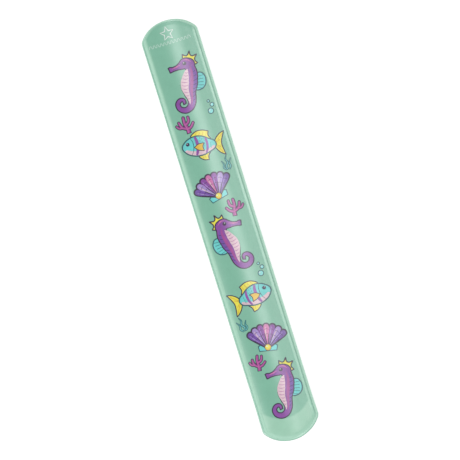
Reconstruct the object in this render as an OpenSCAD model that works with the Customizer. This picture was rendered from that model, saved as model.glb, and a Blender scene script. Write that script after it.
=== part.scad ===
// Slap bracelet in its straight state: two welded PVC films round a spring steel strip.
// Millimetres. +Y runs along the band and +Z is up. The band is bowed across its width, so that it
// lies on the ridge of its plain back with the printed face up, and the origin is on that ridge.

/* [Band] */
// Length of the band from tip to tip
band_l = 220; // [200:1:240]
// Width between the two long edges of the bowed band, seen from above
band_w = 28.9; // [26:0.1:32]
// Radius of the two rounded ends, seen from above
end_r = 17.7; // [17:0.1:30]
// Rounding of the corners where the ends meet the long edges
corner_r = 4; // [1:0.5:5]
// Radius of the bow across the width, at the middle of the thickness
bow_r = 31.8; // [28:0.1:60]

/* [Films] */
// Thickness of each film over the pocket
film_t = 0.45; // [0.3:0.05:0.8]
// Thickness of the two films together where the weld has pressed them
weld_t = 0.6; // [0.4:0.05:0.7]
// Gap between the two films in the weld
weld_gap = 0.04; // [0.02:0.01:0.1]

/* [Pocket] */
// Width of the welded rim, from the cut edge to the raised pocket
rim_w = 1.1; // [0.9:0.1:2]
// Width of film from the raised pocket's edge to the space inside
pocket_wall = 0.45; // [0.3:0.05:0.6]
// Shift of the pocket to one side in the cut outline
pocket_shift_x = -0.25; // [-0.4:0.05:0.4]
// Shift of the pocket towards one end in the cut outline
pocket_shift_y = 0.1; // [-0.4:0.05:0.4]

/* [Spring strip] */
// Thickness of the strip
strip_t = 0.2; // [0.1:0.05:0.3]
// Clearance between the strip and the film on each face
strip_play = 0.05; // [0.03:0.01:0.1]
// Gap between the strip and the pocket's sides, seen from above
strip_side_gap = 1.1; // [0.5:0.1:2]
// Gap between the strip and the pocket's end at the top
strip_top_gap = 0.5; // [0.2:0.1:5]
// Gap between the strip and the pocket's end at the bottom, where the band is limp
strip_bottom_gap = 10; // [0.5:0.5:20]

/* [Hidden] */
$fn = 240;
mint = [0.56, 0.77, 0.68];
steel = [0.72, 0.73, 0.74];
past = 1;                                       // length that a cutting shape runs past what it cuts
least_corner_r = 0.6;                           // rounding left on an outline that is taken in a lot
corner_steps = 4;
end_steps = 28;
core_h = strip_t / 2 + strip_play;              // middle of the thickness to the pocket's inner face
face_h = core_h + film_t;                       // middle of the thickness to the band's outer face
bow_z = bow_r + face_h;                         // height of the bow's axis over the ridge
pocket_inset = rim_w + pocket_wall;
strip_l = band_l - 2 * pocket_inset - strip_top_gap - strip_bottom_gap;
strip_y = (strip_bottom_gap - strip_top_gap) / 2;

// Points of an arc, counted from its start to its end
function arc(centre, r, start, end, steps) =
    [for (i = [0:steps]) let (a = start + (end - start) * i / steps) centre + r * [cos(a), sin(a)]];

// Plan outline centred on the origin, with an arc of r_end for each end and one of r_corner where
// that meets a long edge
module plan(half_w, half_l, r_end, r_corner) {
    end_y = half_l - r_end;
    corner_x = half_w - r_corner;
    corner_y = end_y + sqrt(pow(r_end - r_corner, 2) - pow(corner_x, 2));
    turn = atan2(corner_y - end_y, corner_x);
    step = (180 - 2 * turn) / end_steps;
    top = concat(
        arc([corner_x, corner_y], r_corner, 0, turn, corner_steps),
        arc([0, end_y], r_end, turn + step, 180 - turn - step, end_steps - 2),
        arc([-corner_x, corner_y], r_corner, 180 - turn, 180, corner_steps));
    polygon(concat(top, [for (p = top) -p]));
}

// Cut outline of the band, taken in all round by inset
module band_plan(inset) {
    plan(band_w / 2 - inset, band_l / 2 - inset, end_r - inset, max(corner_r - inset, least_corner_r));
}

// Outline of the pocket, which the weld leaves a little off centre
module pocket_plan(inset) {
    translate([pocket_shift_x, pocket_shift_y]) band_plan(inset);
}

// Sheet of the bowed band between the heights a and b over the middle of its thickness, cut to
// the plan outline that it is given
module sheet(a, b) {
    intersection() {
        translate([0, 0, bow_z]) rotate([90, 0, 0]) difference() {
            cylinder(r = bow_r - min(a, b), h = band_l + 2 * past, center = true);
            cylinder(r = bow_r - max(a, b), h = band_l + 4 * past, center = true);
        }
        translate([0, 0, -past]) linear_extrude(height = bow_z / 2) children();
    }
}

// One film: thin in the welded rim, raised over the pocket and hollow for the strip. The face is
// 1 for the printed front, which is on the inside of the bow, and -1 for the back
module film(face) {
    difference() {
        union() {
            sheet(face * weld_gap / 2, face * weld_t / 2) band_plan(0);
            sheet(face * weld_gap / 2, face * face_h) pocket_plan(rim_w);
        }
        sheet(-face * past, face * core_h) pocket_plan(pocket_inset);
    }
}

module front_film() {
    color(mint) film(1);
}

module back_film() {
    color(mint) film(-1);
}

module spring_strip() {
    inset = pocket_inset + strip_side_gap;
    color(steel) sheet(-strip_t / 2, strip_t / 2)
        translate([pocket_shift_x, pocket_shift_y + strip_y])
            plan(band_w / 2 - inset, strip_l / 2, end_r - inset, least_corner_r);
}

front_film();
back_film();
spring_strip();
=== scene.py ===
"""Looks of the slap bracelet: its two welded films with the pocket and groove, the printed sea
pattern on the front, the steel strip, the studio floor, the lights and the camera. Metres."""

import itertools
import math

import bmesh
import bpy
from mathutils import Matrix, Vector, noise


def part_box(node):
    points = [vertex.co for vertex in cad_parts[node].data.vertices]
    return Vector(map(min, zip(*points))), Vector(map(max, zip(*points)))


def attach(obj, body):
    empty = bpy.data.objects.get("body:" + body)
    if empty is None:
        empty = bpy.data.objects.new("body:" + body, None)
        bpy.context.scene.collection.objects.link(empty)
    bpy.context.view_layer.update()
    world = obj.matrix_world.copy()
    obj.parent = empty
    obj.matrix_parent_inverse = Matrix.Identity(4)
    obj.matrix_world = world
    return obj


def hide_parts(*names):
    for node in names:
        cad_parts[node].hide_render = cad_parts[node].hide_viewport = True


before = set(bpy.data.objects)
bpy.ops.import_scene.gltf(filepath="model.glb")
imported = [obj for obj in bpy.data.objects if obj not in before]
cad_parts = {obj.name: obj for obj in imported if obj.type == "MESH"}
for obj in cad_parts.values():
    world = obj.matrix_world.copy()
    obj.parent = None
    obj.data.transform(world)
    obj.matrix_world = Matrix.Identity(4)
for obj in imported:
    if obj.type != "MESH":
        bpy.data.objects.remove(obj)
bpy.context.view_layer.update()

MM = 0.001

# Sizes of the band, with +Y along it and the printed face up
BAND_LOW, BAND_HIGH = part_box("front_film")
HALF_W = BAND_HIGH[0]
HALF_L = BAND_HIGH[1]
END_R = 17.7 * MM
END_Y = HALF_L - END_R
CORNER_R = 4 * MM
CORNER_X = HALF_W - CORNER_R
CORNER_Y = math.sqrt((END_R - CORNER_R) ** 2 - CORNER_X**2)
CORNER_TURN = math.atan2(CORNER_Y, CORNER_X)
BOW_R = 31.8 * MM
FACE_H = 0.6 * MM
RIM_H = 0.3 * MM
FILM_T = 0.45 * MM
WELD_GAP = 0.04 * MM
RIM_W = 1.1 * MM
SLOPE_W = 1.95 * MM
POCKET_SHIFT = Vector((-0.4 * MM, 0.1 * MM))
STRIP_LOW, STRIP_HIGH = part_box("spring_strip")

# The groove pressed beside the pocket: its middle and width, how far it drifts in and by what share
# it widens towards the right edge, its depth, and the share of it that is lost at each end
GROOVE_AT = 1.0 * MM
GROOVE_W = 0.2 * MM
GROOVE_DRIFT = 0.2 * MM
GROOVE_SPREAD = 0.55
GROOVE_DEPTH = 0.1 * MM
GROOVE_LOSS_TOP = 0.5
GROOVE_LOSS_BOTTOM = 0.75

# The ends' weld is pressed less: where that starts and is complete, and how much thicker it stays
END_WELD_FROM = END_Y + 6 * MM
END_WELD_TO = HALF_L - 4 * MM
END_RISE_TOP = 0.2 * MM
END_RISE_BOTTOM = 0.14 * MM

# Rounding of the cut edge, and the low crest along the top of the pocket's slope
EDGE_DROP = 0.1 * MM
EDGE_W = 0.2 * MM
CREST_H = 0.025 * MM
CREST_W = 0.5 * MM

# Waves in the face over the pocket and puckers along its slope: their height and their size across
# and along the band, and where and how wide the puckers are
WAVE_H = 0.03 * MM
WAVE_CELL = (7 * MM, 13 * MM)
PUCKER_H = 0.02 * MM
PUCKER_CELL = (12 * MM, 2.6 * MM)
PUCKER_AT = RIM_W + 0.6 * SLOPE_W
PUCKER_W = 0.6 * MM
PUCKER_SEED = 7

# The limp end past the strip: where its bow starts to sag, where the sag would be complete, and the
# share of the bow that it then loses
SAG_FROM = -STRIP_LOW[1] - 1 * MM
SAG_TO = HALF_L + 2 * MM
SAG = 0.3

# Where the ends start to differ from the drawn outline, and fully do. Both have their shoulders cut
# back from a true arc, between two distances off the middle. The limp one also spreads by a share,
# and its cut slants on the right, from one place across the band to the other
END_FROM = 86 * MM
END_TO = 102 * MM
SHOULDER_CUT = 0.5 * MM
SHOULDER_FROM = 9 * MM
SHOULDER_TO = 15.5 * MM
LIMP_SPREAD = 0.012
LIMP_SLANT = 0.055
SLANT_FROM = -4 * MM
SLANT_TO = 8 * MM

# Share by which the films lie wider than they were drawn
FILM_SPREAD = 0.005

# Where the film's mesh has its lines, as distances in from the cut edge. The lines take on the
# pocket's shift between two of them, and the rows bulge with the end within a reach of it. Then the
# number of cells between the innermost lines
RING_DEPTHS = [d * MM for d in (0, 0.05, 0.12, 0.22, 0.4, 0.62, 0.78, 0.9, 1.0, 1.1,
                                1.2, 1.32, 1.5, 1.75, 2.0, 2.25, 2.5, 2.75, 3.0)]
RINGS = len(RING_DEPTHS) - 1
SHIFT_FROM = RING_DEPTHS[2]
SHIFT_TO = RING_DEPTHS[6]
BULGE_REACH = 30 * MM
PANEL_CELLS_ACROSS = 26
PANEL_CELLS_ALONG = 194
COLUMNS = PANEL_CELLS_ACROSS + 2 * RINGS
ROWS = PANEL_CELLS_ALONG + 2 * RINGS

# Mint tones as linear colours: over the steel, darker as painted shade of the steel seen through
# the film; over the empty pocket; in the weld, paler, partly the weld's own tone and partly painted
# light through the thin rim; and in the groove, darker as painted shade
MINT_TONES = [
    (0.119, 0.275, 0.199, 1),
    (0.192, 0.348, 0.260, 1),
    (0.252, 0.415, 0.328, 1),
    (0.112, 0.254, 0.185, 1),
]

# How much of the weld's paler tone the film takes on in the middle of its width, which is partly
# the weld's own tone and partly painted light through the thin rim, how much more of it at the left
# edge, as painted light there, and how far that painted light creeps up the slope there.
# At the top end there is less of it, fully so from one place on
WELD_PALENESS_AND_LIGHT = 0.78
LEFT_PAINTED_LIGHT = 0.4
LEFT_LIGHT_CREEP = 0.3 * MM
TOP_CLARITY = 0.4
TOP_CLEAR_AT = HALF_L - 3 * MM

# The groove's painted shade: its width as a multiple of the groove's, its strength, and the width
# of the same painted shade along the bottom end's cut edge
GROOVE_SHADE_SPREAD = 1.5
GROOVE_SHADE = 0.85
EDGE_SHADE_W = 0.4 * MM

# The strip's painted shade in the film: how far it runs on past the strip's top end, lies to the
# right, and runs past both sides, the radius of its ends, and half the width of its soft edge
TOP_SHADE = 1.3 * MM
SIDE_SHADE = 0.35 * MM
WIDE_SHADE = 0.1 * MM
SHADE_END_R = 15 * MM
SHADE_SOFT = 0.5 * MM

# The PVC's skin: the depth and fineness of its grain, the size of its uneven gloss, and how glossy
# it is. Then how cloudy the film's colour and the inks are
GRAIN_DEPTH = 0.004 * MM
GRAIN_SCALE = 2600.0
HAZE_SCALE = 110.0
SKIN_GLOSS = {"Roughness": 0.3, "Gloss Spread": 0.12}
PVC_IOR = 1.5
FILM_CLOUD = {"Amount": 0.03, "Scale": 260.0}
INK_CLOUD = {"Amount": 0.1, "Scale": 420.0}

# Rolled spring steel: how fine its lines are across and along the strip, and its two tones
ROLL_LINES = (6000.0, 60.0, 6000.0)
STEEL_DARK = (0.42, 0.43, 0.45, 1)
STEEL_LIGHT = (0.66, 0.67, 0.68, 1)

# The print: height of one layer of ink, the steps that keep shapes in one layer apart and their
# number, how far the ink reaches into the film, its mesh lines, the steps of its curves from one
# point to the next, the distance within which its points are one, and the height in a raw shape from
# which on a point is on its top
INK_LAYER = 0.015 * MM
INK_STAGGER = 0.0015 * MM
INK_STEPS = 9
INK_SINK = 0.02 * MM
INK_CELL = Vector((0.9 * MM, 2.0 * MM))
CURVE_STEPS = 6
MERGE = 1e-7
TOP_FROM = -1e-6

# Angles in degrees past which an edge is sharp
FILM_SHARP = 50
INK_SHARP = 35

# Half widths of the print's lines, in millimetres
BOLD_LINE = 0.38
LINE = 0.32
STAR_LINE = 0.26
FINE_LINE = 0.24

# The floor's half width and look, and the light that comes from all sides
FLOOR_HALF = 4.0
FLOOR_LOOK = {
    "Base Color": (0.22, 0.22, 0.22, 1),
    "Emission Color": (1, 1, 1, 1),
    "Emission Strength": 0.78,
    "Roughness": 0.8,
    "Specular IOR Level": 0.2,
}
WORLD_LIGHT = 0.6

# The soft lights: name, place, width, length and radiance, and the watts a square metre for a
# radiance of 1
SOFTBOXES = [
    ("softbox_above", (-0.24, 0.105, 1.5), 0.5, 0.75, 7.35),
    ("softbox_left", (-1.2, -0.1, 1.36), 0.9, 1.4, 2.9),
    ("softbox_right", (1.5, -0.4, 1.0), 0.8, 0.9, 7.5),
]
RADIANCE_WATTS = 4

# The photograph's frame: its width in pixels, a pixel's size on the band, and how far the band leans
# to the left in degrees. Then the lens and sensor, and the point that the camera stands over and
# keeps that size at
FRAME_PIXELS = 460
PIXEL = 0.5017 * MM
LEAN = 17.37
LENS = 135
SENSOR = 36
AIM_X = -0.08 * MM
AIM_H = 0.5 * MM


def ease(value, start, end):
    """0 before start, 1 after end, and a smooth step between."""
    t = min(max((value - start) / (end - start), 0.0), 1.0)
    return t * t * (3 - 2 * t)


def bump(value, centre, width):
    """1 at the centre, falling off evenly to both sides of it."""
    return math.exp(-(((value - centre) / width) ** 2))


def limp(y):
    """Share of the bow that is lost past the strip's end, where nothing holds it."""
    return SAG * ease(-y, SAG_FROM, SAG_TO)


def on_band(x, y, height):
    """The point that is height over the middle of the band's thickness, at x and y on the outline
    as it is drawn in plan, before the ends are cut by hand and the limp one spreads."""
    lean = math.sqrt(1 - (x / BOW_R) ** 2)
    rise = BOW_R * (1 - lean) * (1 - limp(y))
    share = ease(-y, END_FROM, END_TO)
    wide = x * (1 + FILM_SPREAD + LIMP_SPREAD * share)
    slant = LIMP_SLANT * share * x * ease(x, SLANT_FROM, SLANT_TO)
    cut = SHOULDER_CUT * ease(abs(x), SHOULDER_FROM, SHOULDER_TO) * ease(abs(y), END_FROM, END_TO)
    return Vector((wide, y + slant - math.copysign(cut, y), FACE_H + rise + height / lean))


def depth_in(x, y):
    """Distance in from an outline of the band's size, which is negative outside it."""
    side = HALF_W - abs(x)
    past = abs(y) - END_Y
    if past <= 0:
        return side
    off_x = abs(x) - CORNER_X
    off_y = past - CORNER_Y
    if off_x > 0 and 0 < math.atan2(off_y, off_x) < CORNER_TURN:
        return CORNER_R - math.hypot(off_x, off_y)
    return min(side, END_R - math.hypot(x, past))


def depth_in_pocket(x, y):
    """The same distance, from that outline as the weld has shifted it. The pocket follows it."""
    return depth_in(x - POCKET_SHIFT.x, y - POCKET_SHIFT.y)


def rounded(x, y):
    """Draws a point in towards the centre of the corner's arc, as far as rounds a sharp corner."""
    off_x = abs(x) - CORNER_X
    off_y = abs(y) - END_Y - CORNER_Y
    turn = math.atan2(off_y, off_x)
    if off_x <= 0 or not 0 < turn < CORNER_TURN:
        return x, y
    to_side = CORNER_R / math.cos(turn)
    inward = CORNER_X * math.cos(turn) + CORNER_Y * math.sin(turn)
    to_end = math.sqrt(inward**2 + END_R**2 - CORNER_X**2 - CORNER_Y**2) - inward
    share = CORNER_R / min(to_side, to_end)
    x = math.copysign(CORNER_X + share * off_x, x)
    return x, math.copysign(END_Y + CORNER_Y + share * off_y, y)


def end_share(y):
    """0 along the sides and 1 round the end's arc, where the weld is pressed less."""
    return ease(abs(y), END_WELD_FROM, END_WELD_TO)


def groove_share(y):
    """How deep the groove is pressed: fully, but for the ends."""
    return 1 - (GROOVE_LOSS_TOP if y > 0 else GROOVE_LOSS_BOTTOM) * end_share(y)


def in_groove(x, y, depth, spread=1):
    """0 outside the groove and 1 on its middle line, at a depth in from the pocket's outline. The
    spread widens it."""
    right = ease(x, 0, HALF_W)
    middle = GROOVE_AT + GROOVE_DRIFT * right
    return groove_share(y) * bump(depth, middle, spread * GROOVE_W * (1 + GROOVE_SPREAD * right))


def face_height(x, y, seed):
    """Height of a film's outer face over the middle of the thickness."""
    pocket = depth_in_pocket(x, y)
    raised = ease(pocket, RIM_W, RIM_W + SLOPE_W)
    rim = RIM_H + (END_RISE_TOP if y > 0 else END_RISE_BOTTOM) * end_share(y)
    height = rim - EDGE_DROP * (1 - ease(depth_in(x, y), 0, EDGE_W))
    height += (FACE_H - rim) * raised
    height -= GROOVE_DEPTH * in_groove(x, y, pocket)
    height += CREST_H * bump(pocket, RIM_W + SLOPE_W, CREST_W)
    wave = noise.noise(Vector((x / WAVE_CELL[0], y / WAVE_CELL[1], seed)))
    height += WAVE_H * raised * wave
    pucker = noise.noise(Vector((x / PUCKER_CELL[0], y / PUCKER_CELL[1], seed + PUCKER_SEED)))
    height += PUCKER_H * pucker * bump(pocket, PUCKER_AT, PUCKER_W)
    return min(height, FACE_H)


def plan_point(i, j):
    """Where a film's mesh has the crossing of column i and row j, seen from above. The outer
    columns and rows follow the cut edge, and the rows between straighten out."""
    from_side = min(i, COLUMNS - i)
    side = -1 if i < COLUMNS / 2 else 1
    if from_side <= RINGS:
        depth = RING_DEPTHS[from_side]
        x = side * (HALF_W - depth)
    else:
        depth = RING_DEPTHS[-1]
        panel = HALF_W - depth
        x = -panel + 2 * panel * (i - RINGS) / PANEL_CELLS_ACROSS
    x += POCKET_SHIFT.x * ease(depth, SHIFT_FROM, SHIFT_TO)
    from_end = min(j, ROWS - j)
    end = -1 if j < ROWS / 2 else 1
    if from_end <= RINGS:
        depth = RING_DEPTHS[from_end]
        reach = min(abs(x), HALF_W - depth)
        y = end * (END_Y + math.sqrt((END_R - depth) ** 2 - reach**2))
    else:
        last_r = END_R - RING_DEPTHS[-1]
        panel = END_Y + last_r
        y = -panel + 2 * panel * (j - RINGS) / PANEL_CELLS_ALONG
        reach = min(abs(x), HALF_W - RING_DEPTHS[-1])
        bulge = ease(abs(y), panel - BULGE_REACH, panel)
        y += end * bulge * (math.sqrt(last_r**2 - reach**2) - last_r)
    return rounded(x, y)


def turn_outward(bm):
    """Points the faces of one closed shell outward, however thin it is."""
    bmesh.ops.recalc_face_normals(bm, faces=bm.faces[:])
    if bm.calc_volume(signed=True) < 0:
        bmesh.ops.reverse_faces(bm, faces=bm.faces[:])


def finished(name, bm, material, sharp):
    """Makes the piece, smooth but for its edges sharper than the angle given, and rides it."""
    mesh = bpy.data.meshes.new(name)
    bm.to_mesh(mesh)
    bm.free()
    for face in mesh.polygons:
        face.use_smooth = True
    mesh.set_sharp_from_angle(angle=math.radians(sharp))
    mesh.materials.append(material)
    piece = bpy.data.objects.new(name, mesh)
    bpy.context.scene.collection.objects.link(piece)
    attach(piece, "root")
    return piece


def painted_groove_shade_at(x, y):
    """How much of the groove's painted shade a point has. The bottom end's cut edge has it too."""
    tone = in_groove(x, y, depth_in_pocket(x, y), GROOVE_SHADE_SPREAD)
    if y < 0:
        tone += end_share(y) * bump(depth_in(x, y), 0, EDGE_SHADE_W)
    return tone


def weld_tone_and_painted_light(x, y):
    """How much of the weld's paler tone a point has: partly its own, partly painted light, more so
    left.
    """
    whitening = WELD_PALENESS_AND_LIGHT - LEFT_PAINTED_LIGHT * x / HALF_W
    whitening -= TOP_CLARITY * ease(y, END_Y, TOP_CLEAR_AT)
    creep = LEFT_LIGHT_CREEP * (1 - x / HALF_W)
    return whitening * (1 - ease(depth_in_pocket(x, y), RIM_W + creep, RIM_W + SLOPE_W + creep))


def film(name, face, material, slot):
    """One film as a closed sheet: a thin welded rim, the groove, and the skin over the pocket.
    The face is 1 for the front and -1 for the back."""
    bm = bmesh.new()
    bmesh.ops.create_grid(bm, x_segments=COLUMNS, y_segments=ROWS, size=1)
    bmesh.ops.solidify(bm, geom=bm.faces[:], thickness=1)
    # Painted shade in the groove and along the bottom end's cut edge
    painted_groove_shade = bm.verts.layers.float.new("painted_groove_shade")
    # The weld's paler tone, partly its own and partly painted light, more so on the left
    pressed = bm.verts.layers.float.new("pressed")
    middle = (min(v.co.z for v in bm.verts) + max(v.co.z for v in bm.verts)) / 2
    for v in bm.verts:
        i = round((v.co.x + 1) / 2 * COLUMNS)
        j = round((v.co.y + 1) / 2 * ROWS)
        x, y = plan_point(i, j)
        height = face_height(x, y, face)
        if v.co.z < middle:
            height = max(height - FILM_T, WELD_GAP / 2)
        v.co = on_band(x, y, face * height)
        v[painted_groove_shade] = painted_groove_shade_at(x, y)
        v[pressed] = weld_tone_and_painted_light(x, y)
    turn_outward(bm)
    piece = finished(name, bm, material, FILM_SHARP)
    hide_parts(slot)


def linear(red, green, blue, share=1.0):
    """A screen colour of 0 to 255 a channel, as Blender's linear one, times the share given."""
    def channel(c):
        c /= 255
        return share * (c / 12.92 if c <= 0.04045 else ((c + 0.055) / 1.055) ** 2.4)
    return channel(red), channel(green), channel(blue), 1.0


def add_node(tree, kind, inputs=None, **settings):
    node = tree.nodes.new(kind)
    for key, value in settings.items():
        setattr(node, key, value)
    for key, value in (inputs or {}).items():
        node.inputs[key].default_value = value
    return node


def new_group(name, inputs, outputs):
    """An empty node group with its sockets, each given as a name with its type and default."""
    tree = bpy.data.node_groups.new(name, "ShaderNodeTree")
    for title, kind, default in inputs:
        socket = tree.interface.new_socket(title, in_out="INPUT", socket_type=kind)
        socket.default_value = default
    for title, kind in outputs:
        tree.interface.new_socket(title, in_out="OUTPUT", socket_type=kind)
    return tree, tree.nodes.new("NodeGroupInput"), tree.nodes.new("NodeGroupOutput")


def satin_skin_group():
    """The fine pressed grain of calendered PVC and its slightly uneven gloss."""
    tree, given, made = new_group(
        "satin_skin",
        [("Gloss Spread", "NodeSocketFloat", 0.06), ("Roughness", "NodeSocketFloat", 0.3)],
        [("Height", "NodeSocketFloat"), ("Roughness", "NodeSocketFloat")],
    )
    place = add_node(tree, "ShaderNodeTexCoord")
    grain = add_node(tree, "ShaderNodeTexNoise", {"Scale": GRAIN_SCALE, "Roughness": 0.6})
    haze = add_node(tree, "ShaderNodeTexNoise", {"Scale": HAZE_SCALE, "Detail": 3.0, "Roughness": 0.5})
    centred = add_node(tree, "ShaderNodeMath", {1: 0.5}, operation="SUBTRACT")
    spread = add_node(tree, "ShaderNodeMath", operation="MULTIPLY")
    total = add_node(tree, "ShaderNodeMath", operation="ADD")
    tree.links.new(place.outputs["Object"], grain.inputs["Vector"])
    tree.links.new(place.outputs["Object"], haze.inputs["Vector"])
    tree.links.new(haze.outputs["Fac"], centred.inputs[0])
    tree.links.new(centred.outputs[0], spread.inputs[0])
    tree.links.new(given.outputs["Gloss Spread"], spread.inputs[1])
    tree.links.new(spread.outputs[0], total.inputs[0])
    tree.links.new(given.outputs["Roughness"], total.inputs[1])
    tree.links.new(grain.outputs["Fac"], made.inputs["Height"])
    tree.links.new(total.outputs[0], made.inputs["Roughness"])
    return tree


def mottle_group():
    """Uneven depth of a printed or dyed colour, as a faint lighter and darker cloud."""
    tree, given, made = new_group(
        "colour_mottle",
        [("Color", "NodeSocketColor", (0.5, 0.5, 0.5, 1)), ("Amount", "NodeSocketFloat", 0.1),
         ("Scale", "NodeSocketFloat", 300.0)],
        [("Color", "NodeSocketColor")],
    )
    place = add_node(tree, "ShaderNodeTexCoord")
    cloud = add_node(tree, "ShaderNodeTexNoise", {"Detail": 4.0, "Roughness": 0.65})
    level = add_node(tree, "ShaderNodeMapRange", {"From Min": 0.3, "From Max": 0.7})
    low = add_node(tree, "ShaderNodeMath", {0: 1.0}, operation="SUBTRACT")
    high = add_node(tree, "ShaderNodeMath", {0: 1.0}, operation="ADD")
    tint = add_node(tree, "ShaderNodeVectorMath", operation="SCALE")
    tree.links.new(place.outputs["Object"], cloud.inputs["Vector"])
    tree.links.new(given.outputs["Scale"], cloud.inputs["Scale"])
    tree.links.new(cloud.outputs["Fac"], level.inputs["Value"])
    tree.links.new(given.outputs["Amount"], low.inputs[1])
    tree.links.new(given.outputs["Amount"], high.inputs[1])
    tree.links.new(low.outputs[0], level.inputs["To Min"])
    tree.links.new(high.outputs[0], level.inputs["To Max"])
    tree.links.new(given.outputs["Color"], tint.inputs[0])
    tree.links.new(level.outputs["Result"], tint.inputs["Scale"])
    tree.links.new(tint.outputs["Vector"], made.inputs["Color"])
    return tree


def strip_mask_group():
    """Painted shade: 1 where the steel behind the film darkens it, and 0 past the strip's edges."""
    tree, _, made = new_group("steel_shade_mask", [], [("Mask", "NodeSocketFloat")])
    middle_x = (STRIP_LOW[0] + STRIP_HIGH[0]) / 2 + SIDE_SHADE
    half_w = (STRIP_HIGH[0] - STRIP_LOW[0]) / 2 + WIDE_SHADE
    top = STRIP_HIGH[1] + TOP_SHADE
    middle_y = (STRIP_LOW[1] + top) / 2
    half_l = (top - STRIP_LOW[1]) / 2
    place = add_node(tree, "ShaderNodeTexCoord")
    split = add_node(tree, "ShaderNodeSeparateXYZ")
    tree.links.new(place.outputs["Object"], split.inputs[0])
    off_x = add_node(tree, "ShaderNodeMath", {1: middle_x}, operation="SUBTRACT")
    off_y = add_node(tree, "ShaderNodeMath", {1: middle_y}, operation="SUBTRACT")
    tree.links.new(split.outputs["X"], off_x.inputs[0])
    tree.links.new(split.outputs["Y"], off_y.inputs[0])
    far_x = add_node(tree, "ShaderNodeMath", operation="ABSOLUTE")
    far_y = add_node(tree, "ShaderNodeMath", operation="ABSOLUTE")
    tree.links.new(off_x.outputs[0], far_x.inputs[0])
    tree.links.new(off_y.outputs[0], far_y.inputs[0])
    past_y = add_node(tree, "ShaderNodeMath", {1: half_l - SHADE_END_R}, operation="SUBTRACT")
    only_past = add_node(tree, "ShaderNodeMath", {1: 0.0}, operation="MAXIMUM")
    tree.links.new(far_y.outputs[0], past_y.inputs[0])
    tree.links.new(past_y.outputs[0], only_past.inputs[0])
    join = add_node(tree, "ShaderNodeCombineXYZ")
    tree.links.new(off_x.outputs[0], join.inputs["X"])
    tree.links.new(only_past.outputs[0], join.inputs["Y"])
    radius = add_node(tree, "ShaderNodeVectorMath", operation="LENGTH")
    tree.links.new(join.outputs[0], radius.inputs[0])
    side = add_node(tree, "ShaderNodeMapRange", {
        "From Min": half_w + SHADE_SOFT, "From Max": half_w - SHADE_SOFT,
    })
    tip = add_node(tree, "ShaderNodeMapRange", {
        "From Min": SHADE_END_R + SHADE_SOFT, "From Max": SHADE_END_R - SHADE_SOFT,
    })
    both = add_node(tree, "ShaderNodeMath", operation="MINIMUM")
    tree.links.new(far_x.outputs[0], side.inputs["Value"])
    tree.links.new(radius.outputs["Value"], tip.inputs["Value"])
    tree.links.new(side.outputs["Result"], both.inputs[0])
    tree.links.new(tip.outputs["Result"], both.inputs[1])
    tree.links.new(both.outputs[0], made.inputs["Mask"])
    return tree


def placed_group(tree, group, inputs=None):
    node = add_node(tree, "ShaderNodeGroup", node_tree=group)
    for key, value in (inputs or {}).items():
        node.inputs[key].default_value = value
    return node


def skinned_material(name, skin):
    """A material whose bump and roughness come from the PVC's skin. Its colour is still to come."""
    material = bpy.data.materials.new(name)
    material.use_nodes = True
    tree = material.node_tree
    shader = tree.nodes["Principled BSDF"]
    skin_node = placed_group(tree, skin, SKIN_GLOSS)
    relief = add_node(tree, "ShaderNodeBump", {"Strength": 1.0, "Distance": GRAIN_DEPTH})
    tree.links.new(skin_node.outputs["Height"], relief.inputs["Height"])
    tree.links.new(relief.outputs["Normal"], shader.inputs["Normal"])
    tree.links.new(skin_node.outputs["Roughness"], shader.inputs["Roughness"])
    shader.inputs["IOR"].default_value = PVC_IOR
    return material, tree, shader


def mint_film(name, tones, skin, mottle, steel_shade_mask):
    """Mint PVC's tones over the steel and in the groove, darker as painted shade, over the empty
    pocket, and in the weld, paler partly on its own and partly as painted light."""
    over_steel, over_pocket, welded, groove_shade_tone = tones
    material, tree, shader = skinned_material(name, skin)
    # Painted shade of the steel seen through the film
    mask = placed_group(tree, steel_shade_mask)
    # The weld's paler tone, partly its own and partly painted light
    pressed = add_node(tree, "ShaderNodeAttribute", attribute_name="pressed")
    free = add_node(tree, "ShaderNodeMix", data_type="RGBA")
    free.inputs["A"].default_value = over_pocket
    free.inputs["B"].default_value = welded
    blend = add_node(tree, "ShaderNodeMix", data_type="RGBA")
    blend.inputs["B"].default_value = over_steel
    # Painted shade in the groove and along the bottom end's cut edge
    line = add_node(tree, "ShaderNodeAttribute", attribute_name="painted_groove_shade")
    groove = add_node(tree, "ShaderNodeMix", data_type="RGBA")
    groove.inputs["B"].default_value = groove_shade_tone
    depth = add_node(tree, "ShaderNodeMath", {1: GROOVE_SHADE}, operation="MULTIPLY")
    cloud = placed_group(tree, mottle, FILM_CLOUD)
    tree.links.new(pressed.outputs["Fac"], free.inputs["Factor"])
    tree.links.new(free.outputs["Result"], blend.inputs["A"])
    tree.links.new(mask.outputs["Mask"], blend.inputs["Factor"])
    tree.links.new(line.outputs["Fac"], depth.inputs[0])
    tree.links.new(depth.outputs[0], groove.inputs["Factor"])
    tree.links.new(blend.outputs["Result"], groove.inputs["A"])
    tree.links.new(groove.outputs["Result"], cloud.inputs["Color"])
    tree.links.new(cloud.outputs["Color"], shader.inputs["Base Color"])
    return material


def ink_material(name, colour, skin, mottle):
    """Opaque screen ink under the same satin skin as the film."""
    material, tree, shader = skinned_material(name, skin)
    cloud = placed_group(tree, mottle, {"Color": colour, **INK_CLOUD})
    tree.links.new(cloud.outputs["Color"], shader.inputs["Base Color"])
    return material


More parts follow.
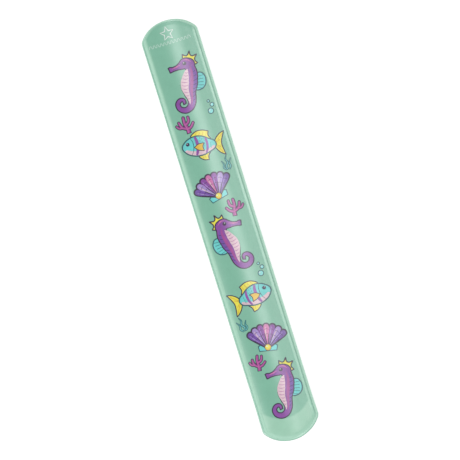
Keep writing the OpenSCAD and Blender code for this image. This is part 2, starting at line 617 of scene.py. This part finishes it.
def spring_steel():
    """Rolled spring steel, with fine lines along the strip."""
    material = bpy.data.materials.new("spring_steel")
    material.use_nodes = True
    tree = material.node_tree
    shader = tree.nodes["Principled BSDF"]
    shader.inputs["Metallic"].default_value = 1.0
    place = add_node(tree, "ShaderNodeTexCoord")
    stretch = add_node(tree, "ShaderNodeMapping", {"Scale": ROLL_LINES})
    lines = add_node(tree, "ShaderNodeTexNoise", {"Scale": 1.0, "Detail": 3.0})
    ramp = add_node(tree, "ShaderNodeValToRGB")
    ramp.color_ramp.elements[0].color = STEEL_DARK
    ramp.color_ramp.elements[1].color = STEEL_LIGHT
    rough = add_node(tree, "ShaderNodeMapRange", {"To Min": 0.25, "To Max": 0.45})
    tree.links.new(place.outputs["Object"], stretch.inputs["Vector"])
    tree.links.new(stretch.outputs["Vector"], lines.inputs["Vector"])
    tree.links.new(lines.outputs["Fac"], ramp.inputs["Fac"])
    tree.links.new(ramp.outputs["Color"], shader.inputs["Base Color"])
    tree.links.new(lines.outputs["Fac"], rough.inputs["Value"])
    tree.links.new(rough.outputs["Result"], shader.inputs["Roughness"])
    return material


# Screen colours of the inks as they look when lit, and the share of them that is the ink's own
INK_SHARE = 0.54
INKS = {
    "violet": (116, 76, 166),
    "purple": (140, 72, 162),
    "magenta": (164, 70, 150),
    "pink": (204, 110, 170),
    "lavender": (170, 146, 208),
    "turquoise": (106, 212, 209),
    "teal": (58, 142, 140),
    "aqua": (140, 226, 224),
    "yellow": (236, 228, 72),
    "gold": (226, 186, 54),
    "blush": (222, 192, 202),
    "white": (222, 232, 226),
    "pale_mint": (182, 216, 200),
    "plum_line": (54, 38, 70),
    "sea_line": (42, 96, 102),
}

ink_meshes = {ink: bmesh.new() for ink in INKS}
stagger = itertools.cycle(k * INK_STAGGER for k in range(INK_STEPS))

# Stands last in a point of an outline or stroke that turns sharply there
CORNER = True


def is_corner(point):
    return point[-1] is CORNER


def new_spline(curve, points, closed):
    """A Bezier through the points, each x and y in millimetres, with CORNER last if it is one."""
    spline = curve.splines.new("BEZIER")
    spline.bezier_points.add(len(points) - 1)
    spline.use_cyclic_u = closed
    for knot, point in zip(spline.bezier_points, points):
        knot.co = (point[0], point[1], 0)
        kind = "VECTOR" if is_corner(point) else "AUTO"
        knot.handle_left_type = knot.handle_right_type = kind
    return spline


def lay_ink(ink, layer, curve, place):
    """Adds a flat closed shape to the ink's mesh, its top at the layer's height. Each lies a hair
    higher or lower than the last, so that no two faces coincide."""
    holder = bpy.data.objects.new("ink_shape", curve)
    mesh = bpy.data.meshes.new_from_object(holder)
    mesh.transform(place)
    shape = bmesh.new()
    shape.from_mesh(mesh)
    lift = next(stagger)
    for v in shape.verts:
        v.co.z = layer * INK_LAYER + lift if v.co.z > TOP_FROM else -INK_SINK - lift
    bmesh.ops.remove_doubles(shape, verts=shape.verts[:], dist=MERGE)
    turn_outward(shape)
    shape.to_mesh(mesh)
    shape.free()
    ink_meshes[ink].from_mesh(mesh)
    bpy.data.meshes.remove(mesh)
    bpy.data.objects.remove(holder)
    bpy.data.curves.remove(curve)


def fill(ink, layer, points, place):
    """A filled outline."""
    curve = bpy.data.curves.new("fill", "CURVE")
    curve.dimensions = "2D"
    curve.fill_mode = "BOTH"
    curve.extrude = 1
    curve.resolution_u = CURVE_STEPS
    new_spline(curve, points, closed=True)
    lay_ink(ink, layer, curve, place)


def stroke(ink, layer, points, place, closed=False):
    """A line of varying width. Each point is x, y and half the line's width, in millimetres, with
    CORNER last if it is one."""
    curve = bpy.data.curves.new("stroke", "CURVE")
    curve.dimensions = "3D"
    curve.twist_mode = "Z_UP"
    curve.bevel_depth = 1
    curve.bevel_resolution = 0
    curve.use_fill_caps = True
    curve.resolution_u = CURVE_STEPS
    spline = new_spline(curve, points, closed)
    for knot, point in zip(spline.bezier_points, points):
        knot.radius = point[2]
    lay_ink(ink, layer, curve, place)


def grown(points, extra):
    """The same stroke, wider by extra on each side and longer by it at each end."""
    wide = [[x, y, half + extra] for x, y, half in points]
    for end, inner in ((0, 1), (-1, -2)):
        step = Vector(points[end][:2]) - Vector(points[inner][:2])
        wide[end][0] += extra * step.normalized().x
        wide[end][1] += extra * step.normalized().y
    return wide


def outline(ink, layer, points, place, half=LINE):
    """A line round a filled shape."""
    line = [(p[0], p[1], half, CORNER) if is_corner(p) else (p[0], p[1], half) for p in points]
    stroke(ink, layer, line, place, closed=True)


def circle_points(x, y, r, count=8):
    turns = [2 * math.pi * k / count for k in range(count)]
    return [(x + r * math.cos(a), y + r * math.sin(a)) for a in turns]


def spot(ink, layer, x, y, r, place):
    fill(ink, layer, circle_points(x, y, r), place)


def glint(layer, x, y, r, shares, place):
    """A white spot on a round one, moved over and up and sized by shares of its radius."""
    over, up, size = shares
    spot("white", layer, x + over * r, y + up * r, size * r, place)


def polar(r, angle, x=0, y=0):
    """The point r from x and y, at an angle in degrees from straight up, towards +X."""
    a = math.radians(angle)
    return x + r * math.sin(a), y + r * math.cos(a)


# Outlines and strokes of the motifs, in millimetres round each motif's middle. A rim is how far a
# motif's dark line reaches past it. A glint's shares are of its round shape's radius, for its shift
# over and up and its size, and a light line's are of its stroke's half width
EYE_GLINT = (-0.3, 0.35, 0.24)
LIGHT_SHARE = 0.22
LIGHT_SHIFT = 0.3
SEAHORSE_RIM = 0.6
SEAHORSE_EYE = (-1.0, 10.7, 1.0)
SEAHORSE_BODY = [
    (0.7, 10.4, 2.5), (2.4, 7.4, 2.2), (2.6, 4.6, 2.8), (1.5, 1.4, 3.9), (0.9, -1.8, 3.8),
    (1.2, -5.0, 2.8), (1.9, -8.0, 2.0), (1.8, -10.8, 1.6), (0.3, -13.2, 1.35), (-2.6, -14.0, 1.15),
    (-5.2, -12.2, 0.95), (-5.0, -9.4, 0.8), (-2.7, -8.6, 0.62), (-1.9, -10.4, 0.4),
]
SEAHORSE_HEAD = [
    (1.4, 10.2, 2.7), (-0.6, 10.6, 2.7), (-2.7, 9.6, 1.75), (-4.9, 8.6, 0.9), (-7.0, 7.9, 0.8),
    (-8.3, 7.6, 1.15), (-8.8, 7.4, 0.95),
]
SEAHORSE_BELLY = [
    (0.5, 7.6, 0.2), (-0.1, 6.2, 1.0), (-0.7, 3.6, 1.7), (-1.3, 0.6, 2.15), (-1.3, -2.4, 1.9),
    (-0.4, -5.4, 1.3), (0.6, -8.2, 0.75), (1.0, -11.0, 0.1),
]
SEAHORSE_SIDE = [
    (1.6, 9.6, 0.08), (2.6, 6.2, 0.6), (2.5, 1.6, 0.9), (2.1, -3.4, 0.75), (2.2, -7.6, 0.5),
    (1.7, -11.6, 0.08),
]
SEAHORSE_BACK = [
    (3.0, 9.4, 0.08), (4.0, 6.0, 0.7), (4.2, 2.0, 1.05), (3.8, -1.6, 1.0), (3.1, -5.0, 0.75),
    (3.1, -8.4, 0.5), (2.3, -12.0, 0.08),
]
SEAHORSE_FIN = [
    (4.4, 4.4), (6.9, 5.6), (9.0, 4.2), (9.9, 1.4), (9.2, -1.6), (7.0, -3.4), (4.2, -3.2),
]
SEAHORSE_CREST = [
    (-1.2, 12.0), (-1.9, 15.6, CORNER), (0.3, 14.7), (1.9, 17.2, CORNER), (2.8, 14.6),
    (5.7, 15.2, CORNER), (4.6, 12.4), (6.1, 10.6, CORNER), (3.4, 9.6), (1.2, 11.0),
]
SEAHORSE_RAYS = [[(4.6, 3.2 - 1.4 * k, 0.1), (8.6, 4.075 - 1.75 * k, 0.14)] for k in range(5)]
SEAHORSE_LIGHTS = [
    [(-3.0, 10.2, 0.08), (-5.4, 8.95, 0.34), (-7.6, 8.0, 0.08)],
    [(-1.6, 12.5, 0.06), (0.5, 12.6, 0.34), (2.6, 11.4, 0.06)],
]

# Short lines over the seahorse's belly and back, and the shares of those strokes where they lie. A
# row has a share of the stroke's half width, then x, y and half the line's own width
SEAHORSE_RIB = ((-0.8, 0, 0.1, 0.07), (0, 0, -0.3, 0.15), (0.85, 0, 0, 0.07))
SEAHORSE_NOTCH = ((-1, 0, -0.5, 0.06), (0, 0.1, -0.2, 0.14), (1.1, 0, 0.5, 0.06))
RIB_SHARES = [0.16 + 0.085 * k for k in range(9)]
NOTCH_SHARES = [0.14 + 0.1 * k for k in range(8)]

FISH_BODY = [
    (-11.4, -0.4), (-9.4, 3.0), (-5.0, 5.7), (0.5, 6.0), (5.6, 3.8), (9.4, 1.4),
    (9.4, -1.6), (5.4, -4.4), (0.0, -6.2), (-5.2, -5.9), (-9.6, -3.6),
]
FISH_BELLY = [
    (-9.9, -2.7), (-5.0, -3.0), (0.0, -3.3), (5.0, -2.4), (8.9, -1.1), (5.2, -4.0),
    (0.0, -5.8), (-5.2, -5.5), (-8.8, -3.9),
]
FISH_TAIL = [
    (8.8, 1.0), (12.0, 5.6), (15.4, 7.4, CORNER), (13.9, 3.4), (13.2, 0.0), (14.0, -3.8),
    (15.2, -7.6, CORNER), (11.8, -5.6), (8.8, -1.2),
]
FISH_BACK_FIN = [
    (-5.4, 5.2), (-3.2, 8.4), (0.8, 9.6), (5.8, 8.6, CORNER), (5.4, 6.0), (6.6, 3.0), (0.5, 4.8),
]
FISH_LOW_FIN = [
    (-1.8, -5.6), (0.6, -8.8), (4.2, -9.4, CORNER), (4.4, -6.6), (5.6, -3.9),
]
FISH_SIDE_FIN = [
    (-3.9, -0.8, CORNER), (-1.4, 1.0), (2.2, 1.5, CORNER), (1.4, -0.8), (2.0, -3.4, CORNER),
    (-1.6, -2.6),
]
FISH_STRIPES = [
    [(-3.0, 5.7, 0.75), (-2.0, 2.6, 1.0), (-2.0, -2.6, 0.95), (-2.9, -5.8, 0.6)],
    [(3.4, 4.7, 0.55), (4.1, 2.0, 0.8), (4.1, -2.2, 0.75), (3.2, -5.0, 0.5)],
]
FISH_GILL = [(-5.9, 5.1, 0.1), (-4.6, 2.6, 0.2), (-4.6, -2.6, 0.2), (-5.9, -5.3, 0.1)]
FISH_EYE = (-7.9, 1.5, 1.15)
FISH_RAYS = [
    [(9.6, 0.784, 0.16), (13.9, 5.6, 0.3)], [(9.6, 0.336, 0.16), (12.6, 2.4, 0.3)],
    [(9.6, -0.336, 0.16), (12.5, -2.4, 0.3)], [(9.6, -0.812, 0.16), (13.7, -5.8, 0.3)],
    *([(2.3 * k - 3.2, 5.6 - 0.3 * k, 0.14), (2.1 * k - 1.6, 8.4, 0.26)] for k in range(4)),
    *([(1.7 * k, 0.5 * k - 6.0, 0.12), (1.3 * k + 1.2, -8.2, 0.22)] for k in range(3)),
]

# One scale on the fish's body and one near its tail, and where they lie
FISH_SCALE = ((-0.2, 0.65, 0.06), (0.4, 0, 0.14), (-0.2, -0.65, 0.06))
TAIL_SCALE = ((0, 0.6, 0.06), (0.7, 0, 0.13), (0, -0.7, 0.06))
FISH_SCALE_SPOTS = [(1.25 * column - 0.2, 2.9 - 1.75 * row - 0.5 * (column % 2))
                    for column in range(3) for row in range(-1, 3)]
TAIL_SCALE_SPOTS = [(5.9, 1.0 - 1.4 * row) for row in range(3)]

CORAL_RIM = 0.55
CORAL_STEMS = [
    [(0.0, -6.2, 1.25), (0.3, -2.6, 1.05), (-0.2, 1.0, 0.95), (0.6, 5.6, 0.75)],
    [(0.2, -3.2, 0.9), (-3.0, -0.6, 0.85), (-3.9, 3.4, 0.7)],
    [(-0.1, 0.2, 0.85), (2.9, 1.6, 0.8), (4.0, 4.8, 0.65)],
    [(-2.5, -1.0, 0.75), (-5.2, -0.4, 0.7), (-6.4, 1.6, 0.6)],
    [(0.2, -3.4, 0.85), (3.2, -2.6, 0.8), (5.8, -0.4, 0.65)],
]
WEED_RIM = 0.42
WEED_BLADES = [
    [(-0.2, -7.0, 0.7), (-1.5, -3.2, 1.0), (0.6, 0.8, 0.95), (-1.0, 4.8, 0.75), (0.4, 9.0, 0.15)],
    [(1.4, -7.0, 0.6), (3.4, -3.6, 0.9), (2.6, 0.0, 0.8), (4.8, 5.2, 0.15)],
    [(-1.8, -7.0, 0.6), (-4.4, -4.2, 0.85), (-3.8, -0.8, 0.75), (-6.0, 3.4, 0.15)],
]

# Three bubbles: x, y and radius, with the glint's shares
BUBBLES = ((0, -2.4, 1.5), (1.6, 0.8, 1.05), (0.2, 3.2, 0.7))
BUBBLE_GLINT = (-0.35, 0.35, 0.26)

# The scallop's hinge, its length from there, half its spread in degrees, and the inks of its petals
# from left to right
HINGE = (0, -7.0)
SCALLOP_L = 14.5
SCALLOP_TURN = 57
PETAL_INKS = ("violet", "lavender", "purple", "pink", "purple", "lavender", "violet")
PETAL_TURN = 2 * SCALLOP_TURN / len(PETAL_INKS)

# The shell's rim over one petal and the lit line on the petal, as shares of the scallop's length and
# of the petal's turn. The bow across a petal goes out and in from a share of the length. Rows of
# lines end with half the width. A petal's own outline has shares of half its turn, less a gap
SCALLOP_RIM = ((0.98, 0, CORNER), (1.03, 0.28), (1.03, 0.72))
PETAL_ROUND = ((0.5, -0.86), (0.86, -1), (0.96, -0.5), (0.96, 0.5), (0.86, 1), (0.5, 0.86))
PETAL_FOOT = 0.14
PETAL_GAP = 0.8
PETAL_LIGHT = ((0.4, -0.2, 0.08), (0.66, -0.2, 0.26), (0.88, -0.16, 0.12))
PETAL_BOW = ((0, -0.4, 0.05), (0.03, 0, 0.13), (0, 0.4, 0.05))
BOW_SHARES = (0.56, 0.76)

# The shell's points at both sides: their share of the scallop's length and how many degrees they
# turn past its petals. Then how far the shell reaches below the hinge, and its two ears
SHELL_SIDE = 0.9
SHELL_SIDE_TURN = 2
SHELL_FOOT = 0.9
SCALLOP_EARS = [
    (-3.4, -4.4), (-5.6, -5.6, CORNER), (-5.0, -8.4, CORNER), (5.0, -8.4, CORNER),
    (5.6, -5.6, CORNER), (3.4, -4.4),
]

# The round spots of the scallop's pearl: ink, layer, x, y and radius
PEARL = (
    ("plum_line", 5, 0, -6.4, 1.95),
    ("gold", 6, 0, -6.4, 1.7),
    ("yellow", 7, -0.2, -6.1, 1.2),
    ("white", 8, -0.6, -5.7, 0.4),
)

# The mark at the top end: the star's two radii and its number of tips, and the rippled line
STAR_R = 3.5
STAR_INNER_R = 1.55
STAR_TIPS = 5
RIPPLE = {"y": -4.7, "half_length": 10.8, "swing": 0.7, "step": 0.9, "half": 0.17}


def along(points, share):
    """The x, y and half width of a stroke at a share of its points."""
    k, rest = divmod(share * (len(points) - 1), 1)
    near, far = points[int(k)], points[int(k) + 1]
    return [a + rest * (b - a) for a, b in zip(near, far)]


def crossing(points, share, line):
    """A short line over a stroke, at a share of the stroke's points."""
    x, y, half = along(points, share)
    return [(x + part * half + dx, y + dy, width) for part, dx, dy, width in line]


def moved(line, x, y):
    return [(x + dx, y + dy, half) for dx, dy, half in line]


def eye(x, y, r, place):
    spot("plum_line", 7, x, y, r, place)
    glint(8, x, y, r, EYE_GLINT, place)


def seahorse(place):
    """A seahorse that looks to the left."""
    fill("turquoise", 1, SEAHORSE_FIN, place)
    outline("sea_line", 2, SEAHORSE_FIN, place)
    for ray in SEAHORSE_RAYS:
        stroke("sea_line", 2, ray, place)
    fill("yellow", 1, SEAHORSE_CREST, place)
    outline("plum_line", 2, SEAHORSE_CREST, place)
    for ink, layer, extra in (("plum_line", 3, SEAHORSE_RIM), ("purple", 4, 0.0)):
        for part in (SEAHORSE_BODY, SEAHORSE_HEAD):
            x, y, half = part[0]
            spot(ink, layer, x, y, half + extra, place)
            stroke(ink, layer, grown(part, extra), place)
    stroke("violet", 5, SEAHORSE_BACK, place)
    stroke("magenta", 6, SEAHORSE_SIDE, place)
    stroke("blush", 7, SEAHORSE_BELLY, place)
    for share in RIB_SHARES:
        stroke("magenta", 8, crossing(SEAHORSE_BELLY, share, SEAHORSE_RIB), place)
    for share in NOTCH_SHARES:
        stroke("plum_line", 7, crossing(SEAHORSE_BACK, share, SEAHORSE_NOTCH), place)
    for light in SEAHORSE_LIGHTS:
        stroke("pink", 6, light, place)
    eye(*SEAHORSE_EYE, place)


def on_fan(share, turn, *rest):
    """The point at a share of the scallop's length and at a turn round its hinge, then the rest."""
    return (*polar(share * SCALLOP_L, turn, *HINGE), *rest)


def petal_middle(k):
    """The turn of petal k's middle, counted from the left."""
    return (k + 0.5) * PETAL_TURN - SCALLOP_TURN


def petal(k, ink, place):
    """One petal of the scallop, with the lit line on it."""
    middle = petal_middle(k)
    reach = 0.5 * PETAL_TURN - PETAL_GAP
    points = [on_fan(PETAL_FOOT, middle, CORNER)]
    points += [on_fan(share, middle + turn * reach) for share, turn in PETAL_ROUND]
    fill(ink, 4, points, place)
    light = [on_fan(share, middle + turn * PETAL_TURN, half) for share, turn, half in PETAL_LIGHT]
    stroke("blush" if ink in ("lavender", "pink") else "lavender", 5, light, place)


def scallop(place):
    """A fan shell with its hinge at the bottom."""
    fill("turquoise", 1, SCALLOP_EARS, place)
    outline("sea_line", 2, SCALLOP_EARS, place)
    shell = [(HINGE[0], HINGE[1] - SHELL_FOOT, CORNER)]
    shell.append(on_fan(SHELL_SIDE, -SCALLOP_TURN - SHELL_SIDE_TURN))
    for k in range(len(PETAL_INKS)):
        start = k * PETAL_TURN - SCALLOP_TURN
        for share, turn, *corner in SCALLOP_RIM:
            shell.append(on_fan(share, start + turn * PETAL_TURN, *corner))
    shell.append(on_fan(SCALLOP_RIM[0][0], SCALLOP_TURN, CORNER))
    shell.append(on_fan(SHELL_SIDE, SCALLOP_TURN + SHELL_SIDE_TURN))
    fill("plum_line", 3, shell, place)
    for k, ink in enumerate(PETAL_INKS):
        petal(k, ink, place)
    for share in BOW_SHARES:
        for k in range(len(PETAL_INKS)):
            bow = [on_fan(share + out, petal_middle(k) + turn * PETAL_TURN, half)
                   for out, turn, half in PETAL_BOW]
            stroke("plum_line", 6, bow, place)
    for ink, layer, x, y, r in PEARL:
        spot(ink, layer, x, y, r, place)


def fish(place):
    """A round reef fish that swims to the left."""
    for shape in (FISH_TAIL, FISH_BACK_FIN, FISH_LOW_FIN):
        fill("yellow", 1, shape, place)
        outline("plum_line", 2, shape, place)
    for ray in FISH_RAYS:
        stroke("gold", 3, ray, place)
    fill("turquoise", 3, FISH_BODY, place)
    fill("blush", 4, FISH_BELLY, place)
    for stripe in FISH_STRIPES:
        stroke("purple", 5, stripe, place)
    for x, y in FISH_SCALE_SPOTS:
        stroke("teal", 6, moved(FISH_SCALE, x, y), place)
    for x, y in TAIL_SCALE_SPOTS:
        stroke("teal", 6, moved(TAIL_SCALE, x, y), place)
    stroke("sea_line", 6, FISH_GILL, place)
    outline("sea_line", 6, FISH_BODY, place, half=BOLD_LINE)
    fill("gold", 7, FISH_SIDE_FIN, place)
    outline("plum_line", 8, FISH_SIDE_FIN, place, half=FINE_LINE)
    eye(*FISH_EYE, place)


def coral(place):
    """A sprig of branching coral."""
    for stem in CORAL_STEMS:
        x, y, half = stem[-1]
        stroke("plum_line", 1, grown(stem, CORAL_RIM), place)
        spot("plum_line", 1, x, y, half + CORAL_RIM, place)
    for stem in CORAL_STEMS:
        x, y, half = stem[-1]
        stroke("magenta", 2, stem, place)
        spot("magenta", 2, x, y, half, place)
        light = [(x - LIGHT_SHIFT * half, y, LIGHT_SHARE * half) for x, y, half in stem]
        stroke("pink", 3, light, place)


def weed(place):
    """A tuft of sea grass."""
    for blade in WEED_BLADES:
        stroke("sea_line", 1, grown(blade, WEED_RIM), place)
        stroke("teal", 2, blade, place)
        stroke("aqua", 3, [(x, y, LIGHT_SHARE * half) for x, y, half in blade[:-1]], place)


def bubbles(place):
    """Three bubbles that rise."""
    for x, y, r in BUBBLES:
        spot("aqua", 1, x, y, r, place)
        outline("sea_line", 2, circle_points(x, y, r), place, half=FINE_LINE)
        glint(3, x, y, r, BUBBLE_GLINT, place)


def ripple(ink, place, y, half_length, swing, step, half):
    """A wavy line across the band, at a height y and with half a width."""
    count = round(half_length / step)
    points = [(k * step, y + (swing if k % 2 else -swing), half) for k in range(-count, count + 1)]
    stroke(ink, 1, points, place)


def star_mark(place):
    """A plain star drawn in one line, over a fine rippled line."""
    points = []
    for k in range(2 * STAR_TIPS):
        points.append((*polar(STAR_INNER_R if k % 2 else STAR_R, 180 / STAR_TIPS * k), CORNER))
    outline("white", 1, points, place, half=STAR_LINE)
    ripple("pale_mint", place, **RIPPLE)


# Where the motifs lie: the motif, x and y on the band in millimetres, its turn anticlockwise in
# degrees, its size, and -1 where it is mirrored
LAYOUT = [
    (star_mark, -0.8, 103.4, 0, 1.0, 1),
    (seahorse, 1.4, 76.4, -14, 0.95, 1),
    (coral, -5.6, 56.7, 8, 0.68, 1),
    (bubbles, 8.6, 62.0, 0, 0.9, 1),
    (fish, -1.5, 44.8, -10, 0.8, 1),
    (weed, 8.5, 32.4, -6, 0.44, 1),
    (scallop, -1.6, 23.4, 13, 0.86, 1),
    (coral, 5.4, 10.4, -12, 0.68, -1),
    (seahorse, -1.0, -6.4, 10, 0.95, -1),
    (bubbles, 8.2, -23.0, 0, 0.9, 1),
    (fish, 1.5, -34.8, 9, 0.8, -1),
    (weed, -8.5, -47.4, 8, 0.44, -1),
    (scallop, 1.7, -56.4, -12, 0.86, 1),
    (coral, -6.6, -67.8, -4, 0.62, 1),
    (seahorse, 1.8, -84.2, -14, 0.93, 1),
]


def cut_into_cells(bm):
    """Slices the flat ink at even steps, so that it can follow the bow and the film's ripples."""
    for axis, reach, step in ((0, HALF_W, INK_CELL.x), (1, HALF_L, INK_CELL.y)):
        normal = Vector((1, 0, 0)) if axis == 0 else Vector((0, 1, 0))
        for k in range(-int(reach / step), int(reach / step) + 1):
            geometry = bm.verts[:] + bm.edges[:] + bm.faces[:]
            point = normal * k * step
            bmesh.ops.bisect_plane(bm, geom=geometry, dist=MERGE, plane_co=point, plane_no=normal)
    bmesh.ops.dissolve_degenerate(bm, dist=MERGE, edges=bm.edges[:])


def printed_front(skin, mottle):
    """Draws the whole pattern flat, then lays each ink on the front film's face."""
    for motif, x, y, turn, size, side in LAYOUT:
        place = (
            Matrix.Translation((x * MM, y * MM, 0))
            @ Matrix.Rotation(math.radians(turn), 4, "Z")
            @ Matrix.Diagonal((side * size * MM, size * MM, size * MM, 1))
        )
        motif(place)
    for ink, bm in ink_meshes.items():
        cut_into_cells(bm)
        for v in bm.verts:
            x, y, lift = v.co
            v.co = on_band(x, y, face_height(x, y, 1) + lift)
        material = ink_material(ink, linear(*INKS[ink], INK_SHARE), skin, mottle)
        finished(f"print_{ink}", bm, material, INK_SHARP)


def studio_floor():
    """A wide pale light table, which is not part of the object."""
    bm = bmesh.new()
    bmesh.ops.create_grid(bm, x_segments=1, y_segments=1, size=FLOOR_HALF)
    mesh = bpy.data.meshes.new("studio_floor")
    bm.to_mesh(mesh)
    bm.free()
    material = bpy.data.materials.new("pale_floor")
    material.use_nodes = True
    shader = material.node_tree.nodes["Principled BSDF"]
    for key, value in FLOOR_LOOK.items():
        shader.inputs[key].default_value = value
    mesh.materials.append(material)
    floor = bpy.data.objects.new("studio_floor", mesh)
    bpy.context.scene.collection.objects.link(floor)


def softbox(name, place, width, length, radiance):
    """A rectangular light that faces the band's middle, its length along the band."""
    light = bpy.data.lights.new(name, "AREA")
    light.shape = "RECTANGLE"
    light.size = width
    light.size_y = length
    light.energy = RADIANCE_WATTS * radiance * width * length
    holder = bpy.data.objects.new(name, light)
    holder.location = place
    holder.rotation_euler = Vector(place).to_track_quat("Z", "X").to_euler()
    bpy.context.scene.collection.objects.link(holder)


def studio_light():
    for name, place, width, length, radiance in SOFTBOXES:
        softbox(name, place, width, length, radiance)
    world = bpy.data.worlds.new("studio")
    world.use_nodes = True
    background = world.node_tree.nodes["Background"]
    background.inputs["Color"].default_value = (1, 1, 1, 1)
    background.inputs["Strength"].default_value = WORLD_LIGHT
    bpy.context.scene.world = world


def overhead_camera():
    """Straight above, turned so that the band leans to the left as it does in the photograph."""
    data = bpy.data.cameras.new("camera")
    data.lens = LENS
    data.sensor_width = SENSOR
    camera = bpy.data.objects.new("camera", data)
    camera.location = (AIM_X, 0, FRAME_PIXELS * PIXEL * LENS / SENSOR + AIM_H)
    camera.rotation_euler = (0, 0, -math.radians(LEAN))
    bpy.context.scene.collection.objects.link(camera)
    bpy.context.scene.camera = camera


def main():
    skin = satin_skin_group()
    mottle = mottle_group()
    steel_shade_mask = strip_mask_group()
    front = mint_film("mint_front", MINT_TONES, skin, mottle, steel_shade_mask)
    back = mint_film("mint_back", MINT_TONES, skin, mottle, steel_shade_mask)
    film("printed_front_film", 1, front, "front_film")
    film("plain_back_film", -1, back, "back_film")
    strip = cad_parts["spring_strip"]
    strip.data.materials.clear()
    strip.data.materials.append(spring_steel())
    printed_front(skin, mottle)
    studio_floor()
    studio_light()
    overhead_camera()
    bpy.context.scene.view_settings.view_transform = "Standard"


main()
